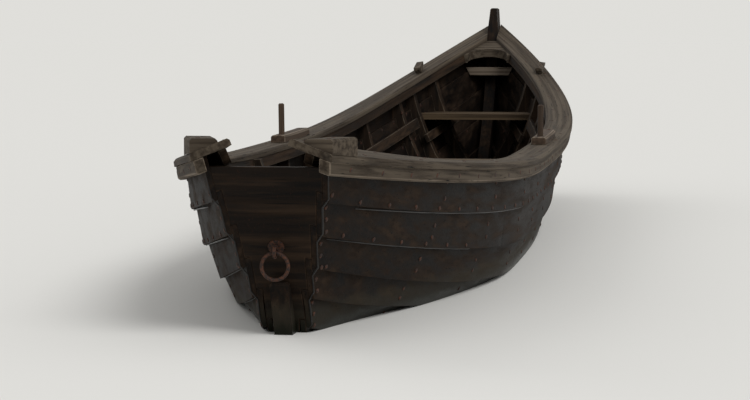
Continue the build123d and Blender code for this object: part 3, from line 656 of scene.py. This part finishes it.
# %% Nails into the timbers
FRAME_PITCH = 0.51
TIMBER = 30 * MM
ACROSS_A_PLANK = (0.34, 0.66)
FEWEST_POINTS = 8
floor_low, floor_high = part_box("floor_timbers")
frame_count = int((floor_high.x - floor_low.x) / FRAME_PITCH) + 1
frame_xs = [floor_low.x + FRAME_PITCH * number for number in range(frame_count)]
for x in frame_xs:
    for side in SIDES.values():
        found = [hit for _, hit in section(x - TIMBER / 2, side)]
        for strake in range(1, strake_count + 1):
            run = [hit for hit in found if hit[2].startswith(f"strake_{strake}_")]
            for share in ACROSS_A_PLANK:
                if len(run) > FEWEST_POINTS:
                    point, normal, _ = run[int(len(run) * share)]
                    drive_nail(point, normal)
print("heads with the timbers':", len(heads.verts) // (HEAD_RINGS * HEAD_CORNERS))

# %% [markdown]
# At the bow the planks run into a groove of the stem, and at the stern they end on the transom's edge. Each
# end is nailed down, and the joint is payed with pitch. A ray from the side finds where a plank ends at a
# height: it walks along the boat until it meets wood.


# %% Nails at the planks' ends
LONGEST_WALK = 400


def plank_end(z, side, x, step):
    """Walk from x in steps until a ray from the side meets a plank. Gives the point and its normal."""
    for _ in range(LONGEST_WALK):
        point, normal, index, _ = PLANKS[0].ray_cast(Vector((x, side, z)), Vector((0, -side, 0)), 1.0)
        if point is not None and PLANKS[1][index].startswith("strake"):
            return point, normal
        x += step
    return None


END_STEP = 4 * MM
# columns: where the walk starts, its direction, lowest and highest nail, spacing, distances from the end
PLANK_ENDS = (
    (solid_high.x, -1, -0.02, 0.73, 36 * MM, (22 * MM, 40 * MM)),
    (solid_low.x, 1, 0.02, 0.46, 34 * MM, (14 * MM, 14 * MM)),
)
for start, direction, low, high, spacing, insets in PLANK_ENDS:
    for side in SIDES.values():
        for number in range(int((high - low) / spacing)):
            z = low + spacing * number
            end = plank_end(z, side, start, direction * END_STEP)
            if end is None:
                continue
            inset = direction * insets[number % len(insets)]
            spot = plank_end(z, side, end[0].x + inset, direction * END_STEP)
            if spot is not None:
                add_head(heads, spot[0], spot[1], HEAD_RADIUS, HEAD_RISE)
new_piece("hull_nail_heads", heads, IRON)
new_piece("lap_roves", roves, IRON, smooth=False)

# %% [markdown]
# Rails, seats and boards are nailed from above, through the whole top of the boat. Their heads are driven
# flush, so they are flatter and their rust shows more than their shape. A ray straight down finds the wood,
# and a nail is left out where something else, such as a block or a knee, lies on top.


# %% Nails driven from above
EVERYTHING = surface_of(list(nodes))
FLUSH_RADIUS = 6.5 * MM
FLUSH_RISE = 1.3 * MM
SCAN_STEP = 4 * MM
SPAN_STEPS = 150
flush = bmesh.new()


def look_down(x, y, height=FAR):
    """The first surface below a height, and whose it is."""
    point, normal, index, _ = EVERYTHING[0].ray_cast(Vector((x, y, height)), Vector((0, 0, -1)))
    return (None, None, "") if point is None else (point, normal, EVERYTHING[1][index])


def nail_down(x, y, node, height=FAR):
    """Drive a nail from above where a node's surface lies open."""
    point, normal, owner = look_down(x, y, height)
    if owner.startswith(node):
        add_head(flush, point, normal, FLUSH_RADIUS, FLUSH_RISE)


def span_at(x, side, node):
    """The half-breadths between which a node shows from above at a station."""
    ways = [SCAN_STEP * number for number in range(SPAN_STEPS)]
    shown = [way for way in ways if look_down(x, side * way)[2].startswith(node)]
    return (shown[0], shown[-1]) if shown else None


print("faces to look down on:", len(EVERYTHING[1]))

# %% [markdown]
# The cap rail is nailed down every 180 mm, in turn nearer its inside and nearer its outside, so that it can't
# split along one line of nails. The rail's breadth is looked up at each station, because it curves.

# %% Nails in the cap rail
RAIL_NAIL_PITCH = 180 * MM
FIRST_CAP_NAIL = 0.06
CAP_NAIL_SHARES = (0.26, 0.76)
for number in range(int((solid_high.x - solid_low.x) / RAIL_NAIL_PITCH)):
    x = solid_low.x + FIRST_CAP_NAIL + RAIL_NAIL_PITCH * number
    for side in SIDES.values():
        span = span_at(x, side, "cap_rail")
        if span:
            share = CAP_NAIL_SHARES[number % 2]
            nail_down(x, side * (span[0] + (span[1] - span[0]) * share), "cap_rail")
print("flush nails so far:", len(flush.verts) // (HEAD_RINGS * HEAD_CORNERS))

# %% [markdown]
# A seat has two nails at each end, down into what it rests on. A bottom board has two at every floor timber
# that it crosses. There the rays start lower, from below the seats, or they would stop on a thwart.

# %% Nails in seats and bottom boards
SEAT_NAIL_INSET = 45 * MM
BOARD_NAIL_SHARES = (0.22, 0.78)
for name in ("thwart_aft", "thwart_middle", "seat_stern", "seat_bow"):
    low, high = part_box(name)
    for share in BOARD_NAIL_SHARES:
        for y in (low.y + SEAT_NAIL_INSET, high.y - SEAT_NAIL_INSET):
            nail_down(low.x + (high.x - low.x) * share, y, name)
BELOW_SEATS = 0.2
for name in ("bottom_board_middle", "bottom_board_port", "bottom_board_starboard"):
    low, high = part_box(name)
    for x in frame_xs[1:-1]:
        for share in BOARD_NAIL_SHARES:
            nail_down(x + TIMBER / 2, low.y + (high.y - low.y) * share, name, BELOW_SEATS)
print("flush nails so far:", len(flush.verts) // (HEAD_RINGS * HEAD_CORNERS))

# %% [markdown]
# Blocks, pads, cleats, knees, shelf and breasthook are small pieces that hang on a few nails each. Their
# places are shares of the piece's own length and breadth, so they stay on it if its size changes.

# %% Nails in the small pieces
# columns: node, shares of its length and of its breadth at which it is nailed
TOP_NAILS = (
    ("breasthook", (0.15, 0.5, 0.85), (0.2, 0.8)),
    ("quarter_block", (0.25, 0.75), (0.5,)),
    ("thole_pad", (0.05, 0.45, 0.95), (0.5,)),
    ("rail_cleat", (0.38, 0.62), (0.5,)),
    ("quarter_knee", (0.3, 0.6), (0.75,)),
    ("bow_shelf", (0.5,), (0.15, 0.85)),
)
for start, lengths, breadths in TOP_NAILS:
    for name in nodes:
        if name.startswith(start):
            low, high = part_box(name)
            for share in lengths:
                for across in breadths:
                    nail_down(low.x + (high.x - low.x) * share, low.y + (high.y - low.y) * across, start)
new_piece("flush_nail_heads", flush, IRON)

# %% [markdown]
# The rubbing rail takes the knocks of jetties and other boats, so it is nailed through from outside, about
# midway between the nails of the cap rail. Rays from the side climb past it, and the middle one that meets
# it gives the place. That works at every station, though the rail rises and turns along the boat.

# %% Nails through the rubbing rail
FIRST_RUB_NAIL = 0.14
RUB_LOW = 0.3
RUB_STEPS = 160
rub = bmesh.new()
for number in range(int((solid_high.x - solid_low.x) / RAIL_NAIL_PITCH)):
    x = solid_low.x + FIRST_RUB_NAIL + RAIL_NAIL_PITCH * number
    for side in SIDES.values():
        hits = []
        for step in range(RUB_STEPS):
            start = Vector((x, side, RUB_LOW + SCAN_STEP * step))
            point, normal, index, _ = EVERYTHING[0].ray_cast(start, Vector((0, -side, 0)), 1.0)
            if point is not None and EVERYTHING[1][index].startswith("rub_rail"):
                hits.append((point, normal))
        if hits:
            point, normal = hits[len(hits) // 2]
            add_head(rub, point, normal, HEAD_RADIUS, FLUSH_RISE)
new_piece("rub_rail_nail_heads", rub, IRON)

# %% [markdown]
# Pitch is painted hot into every seam outside. It sets black and smooth, glossier than the tar around it,
# with lumps about a centimetre long where it cooled as it ran. One noise gives both its two blacks and its
# lumps.

# %% Pitch
PITCH_LUMP = 10 * MM


def pitch(name):
    """Pitch that has run and set: black, smooth and lumpy at a centimetre's scale."""
    material, tree = new_material(name)
    place = add(tree, "TexCoord").outputs["Object"]
    lumps = noise(tree, add(tree, "Mapping", {"Vector": place, "Scale": (1 / PITCH_LUMP,) * 3}).outputs[0])
    surface = blend(tree, ramp(tree, lumps, 0.35, 0.7), colour("#060505"), colour("#14110e"))
    bump = add(tree, "Bump", {"Height": lumps, "Strength": 0.5, "Distance": 1.0 * MM})
    finish_material(tree, {
        "Base Color": surface, "Roughness": 0.42, "IOR": 1.5, "Specular IOR Level": 0.4,
        "Normal": bump.outputs["Normal"],
    })
    return material


print("pitch has lumps of", round(PITCH_LUMP / MM), "mm")

# %% [markdown]
# The bead of pitch fills the small step under each lap and is never quite even. A curve with a round bevel
# would be too even, so the bead is built ring by ring as a five-sided tube. Its thickness varies at random by
# a quarter, and it thins towards its ends.

# %% A bead of pitch
TAPER_POINTS = 3


def lay_bead(shape, path, radius, sides=5):
    """A thin line of pitch through points on the skin, half sunk into the seam."""
    rings = []
    for number, (point, normal) in enumerate(path):
        before = path[max(number - 1, 0)][0]
        after = path[min(number + 1, len(path) - 1)][0]
        across = (after - before).cross(normal).normalized()
        from_end = min(number + 1, len(path) - number, TAPER_POINTS)
        size = radius * dice.uniform(0.75, 1.25) * from_end / TAPER_POINTS
        turns = [2 * pi * n / sides for n in range(sides)]
        ring = [point + (across * cos(turn) + normal * sin(turn)) * size for turn in turns]
        rings.append([shape.verts.new(corner) for corner in ring])
    for low, high in zip(rings, rings[1:]):
        for n in range(sides):
            shape.faces.new((low[n], low[(n + 1) % sides], high[(n + 1) % sides], high[n]))
    shape.faces.new(rings[0])
    shape.faces.new(list(reversed(rings[-1])))


print("a bead thins over its last", TAPER_POINTS, "points")

# %% [markdown]
# Along the laps the bead follows each plank's lower edge, station by station. Just below and just above a lap
# the rays meet two planks, and the bead runs midway between the two points. Where these lie further apart
# than a lap's step can be, a plank has ended, and the bead gets no point.

# %% Beads along the laps
LAP_STEP = 25 * MM
BEAD_PITCH = 60 * MM
BEAD_RADIUS = 2.6 * MM
BEAD_ENDS = (solid_low.x + 0.06, solid_high.x - 0.12)
seams = bmesh.new()
paths = {}
for number in range(int((BEAD_ENDS[1] - BEAD_ENDS[0]) / BEAD_PITCH) + 1):
    for side in SIDES.values():
        for below, above, name in laps(BEAD_ENDS[0] + BEAD_PITCH * number, side):
            if (below[0] - above[0]).length < LAP_STEP:
                paths.setdefault(name, []).append(((below[0] + above[0]) / 2, below[1]))
print("beads along laps:", len(paths))

# %% [markdown]
# The planks' ends are payed too, where they meet the stem and the transom. The same walk that found the end
# nails finds these ends, in steps of a millimetre. Then all beads are laid as one mesh.

# %% Beads along the planks' ends
END_BEAD_PITCH = 24 * MM
# columns: direction of the walk along the boat, where it starts, lowest and highest point of the bead
END_BEADS = (
    (-1, solid_high.x, -0.03, 0.74),
    (1, solid_low.x, 0.0, 0.48),
)
for direction, start, low, high in END_BEADS:
    for side in SIDES.values():
        heights = [low + END_BEAD_PITCH * number for number in range(int((high - low) / END_BEAD_PITCH))]
        ends = [plank_end(z, side, start, direction * MM) for z in heights]
        paths[direction, side] = [end for end in ends if end]
for path in paths.values():
    if len(path) > 2:
        lay_bead(seams, path, BEAD_RADIUS)
new_piece("pitch_beads", seams, pitch("set_stockholm_pitch"))

# %% [markdown]
# The studio floor lies at the boat's waterline, so the hull has to pass through it. A flat plane would also
# show inside the boat, because the bilge lies below the waterline. So the floor gets a hole whose edge runs
# hidden within the planks at that height. Rays from above find where that is.

# %% The waterline within the wood
FLOOR_REACH = 60.0
BESIDE_POST = 30 * MM
IN_THE_WOOD = 2 * MM
WATERLINE_STEPS = 500


def hidden_from(tree, x):
    """How far in, at a station, the wood still hides the floor from above."""
    outside, _, _, _ = tree.ray_cast(Vector((x, FAR, 0.0)), Vector((0, -1, 0)))
    y = outside.y
    while y > MM:
        wood, _, _, _ = tree.ray_cast(Vector((x, y - MM, FAR)), Vector((0, 0, -1)))
        if wood is None or wood.z < 0:
            break
        y -= MM
    return y


def waterline_points():
    """A loop at the waterline, from the transom to the stem and back, that stays within the wood."""
    tree, _ = surface_of([n for n in nodes if n.startswith(("strake", "stem", "transom"))])
    astern, _, _, _ = tree.ray_cast(Vector((-FLOOR_REACH, BESIDE_POST, 0.0)), Vector((1, 0, 0)))
    ahead, _, _, _ = tree.ray_cast(Vector((FLOOR_REACH, 0.0, 0.0)), Vector((-1, 0, 0)))
    first = astern.x + IN_THE_WOOD
    last = ahead.x - IN_THE_WOOD
    xs = [first + (last - first) * step / WATERLINE_STEPS for step in range(WATERLINE_STEPS + 1)]
    edges = [hidden_from(tree, x) for x in xs]
    port = []
    for number, x in enumerate(xs):
        nearby = edges[max(number - 1, 0):number + 2]
        port.append(Vector((x, max(nearby) + IN_THE_WOOD, 0.0)))
    print("waterline from", round(first, 3), "to", round(last, 3), "m")
    return port + [Vector((p.x, -p.y, 0.0)) for p in reversed(port)]


loop = waterline_points()
print("waterline points:", len(loop))

# %% [markdown]
# The floor's mesh is what lies between that loop and four far corners. A boolean could cut the hole out of a
# plane, but the hull has thousands of faces and open seams. Blender's triangle fill needs only the two rings
# of edges, and leaves no face inside the boat.

# %% A floor with a hole the shape of the waterline
FLOOR_COLOUR = colour("#dcdbd7")
corners = [Vector((FLOOR_REACH * x, FLOOR_REACH * y, 0.0)) for x, y in ((-1, -1), (1, -1), (1, 1), (-1, 1))]
floor_shape = bmesh.new()
for ring in (loop, corners):
    rim = [floor_shape.verts.new(point) for point in ring]
    for number in range(len(rim)):
        floor_shape.edges.new((rim[number - 1], rim[number]))
bmesh.ops.triangle_fill(floor_shape, use_beauty=True, edges=floor_shape.edges[:], normal=(0.0, 0.0, 1.0))
floor_mesh = bpy.data.meshes.new("floor")
floor_shape.to_mesh(floor_mesh)
floor_shape.free()
floor = bpy.data.objects.new("floor", floor_mesh)
bpy.context.scene.collection.objects.link(floor)
material, tree = new_material("pale_studio_floor")
finish_material(tree, {"Base Color": FLOOR_COLOUR, "Roughness": 1.0, "Specular IOR Level": 0.0})
floor_mesh.materials.append(material)
print("floor triangles:", len(floor_mesh.polygons))

# %% [markdown]
# Plain soft light, like an overcast day in a studio: a white world and two very soft suns, which together
# give the level at which a colour renders as it is written. Suns light a floor evenly, however large it is,
# so the backdrop that the camera sees can have exactly the floor's brightness, and no horizon shows.

# %% World and lamps
AMBIENT = 0.58
# columns: name, height above the horizon and compass direction in degrees, strength, softness in degrees
SUNS = (
    ("key", 42.0, 222.0, 1.7, 30.0),
    ("rim", 30.0, 50.0, 0.6, 40.0),
)
level = AMBIENT
for name, height, compass, strength, softness in SUNS:
    lamp = bpy.data.lights.new(name, "SUN")
    lamp.energy = strength
    lamp.angle = radians(softness)
    lamp_object = bpy.data.objects.new(name, lamp)
    bpy.context.scene.collection.objects.link(lamp_object)
    up, across = sin(radians(height)), cos(radians(height))
    toward = Vector((across * cos(radians(compass)), across * sin(radians(compass)), up))
    lamp_object.rotation_euler = toward.to_track_quat("Z", "Y").to_euler()
    level += strength * up / pi
seen_colour = [min(channel * level, 1.0) for channel in FLOOR_COLOUR[:3]] + [1.0]
world = bpy.data.worlds.new("soft_white")
bpy.context.scene.world = world
world.use_nodes = True
sky = world.node_tree
sky.nodes.clear()
light_path = add(sky, "LightPath")
seen = calculate(sky, "MAXIMUM", light_path.outputs["Is Camera Ray"], light_path.outputs["Is Glossy Ray"])
sky_colour = blend(sky, seen, grey(AMBIENT), tuple(seen_colour))
background = add(sky, "Background", {"Color": sky_colour, "Strength": 1.0})
add(sky, "OutputWorld", {"Surface": background.outputs[0]})
bpy.context.scene.view_settings.view_transform = "Standard"
print("light level on a flat surface:", round(level, 2))

# %% [markdown]
# The camera stands where the photograph was taken: 0.87 m above the waterline, 6.2 m behind the transom and
# 1.2 m to starboard of the keel's line. A wide lens close by would swell the stern. This long one takes in
# the boat alone, and it aims at a point just aft of the after thwart, so that the whole hull is in view.

# %% Camera
EYE = Vector((-9.22, -1.22, 0.87))
LENS = 118.0
SENSOR = 36.0
CLIP_END = 300
AIM = Vector((-1.2, -0.02, 0.25))
camera_data = bpy.data.cameras.new("camera")
camera_data.lens = LENS
camera_data.sensor_width = SENSOR
camera = bpy.data.objects.new("camera", camera_data)
bpy.context.scene.collection.objects.link(camera)
camera.location = EYE
camera.rotation_euler = (AIM - EYE).to_track_quat("-Z", "Y").to_euler()
camera_data.clip_end = CLIP_END
bpy.context.scene.camera = camera
print("camera looks", round(2 * atan(SENSOR / 2 / LENS) * 180 / pi, 1), "degrees wide")
